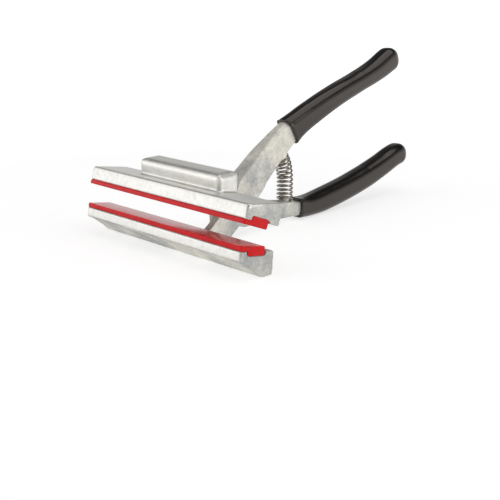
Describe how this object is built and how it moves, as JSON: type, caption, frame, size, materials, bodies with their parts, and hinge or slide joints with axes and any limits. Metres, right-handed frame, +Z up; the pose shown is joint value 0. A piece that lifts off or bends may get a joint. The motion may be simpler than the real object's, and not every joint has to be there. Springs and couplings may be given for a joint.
{
  "type": "canvas pliers",
  "caption": "Canvas stretching pliers: two cast metal levers crossing at a lap joint, long padded jaws held open by a coil spring, dipped handle grips.",
  "frame": {"origin": "centre of the flat heel under the lower jaw, which the pliers stand on", "axes": "+X along the jaws, +Y from the jaws towards the handles, +Z up from the surface the pliers stand on"},
  "size_m": [0.12, 0.2062, 0.0919],
  "materials": {
    "cast_aluminium": "die-cast and tumbled, pale grey, satin, with ground front faces",
    "red_rubber": "moulded red rubber, smooth and glossy",
    "black_vinyl": "dipped black vinyl, glossy",
    "plated_steel": "zinc-plated steel, satin",
    "spring_steel": "nickel-plated spring wire, bright"
  },
  "bodies": {
    "lower_jaw": {"lower_jaw_lever": "cast_aluminium", "lower_jaw_pad": "red_rubber", "upper_handle_grip": "black_vinyl", "pivot_bolt": "plated_steel", "pivot_washer": "plated_steel", "pivot_nut": "plated_steel", "return_spring": "spring_steel"},
    "upper_jaw": {"upper_jaw_lever": "cast_aluminium", "upper_jaw_pad": "red_rubber", "lower_handle_grip": "black_vinyl"}
  },
  "joints": [
    {"name": "squeeze", "type": "hinge", "parent": "lower_jaw", "child": "upper_jaw", "pos_m": [0, 0.0415, 0.015], "axis": [1, 0, 0], "range_deg": [0, 9.9], "stiffness_Nm_per_rad": 1.84, "springref_deg": -12.61, "deforming": ["return_spring"]}
  ]
}
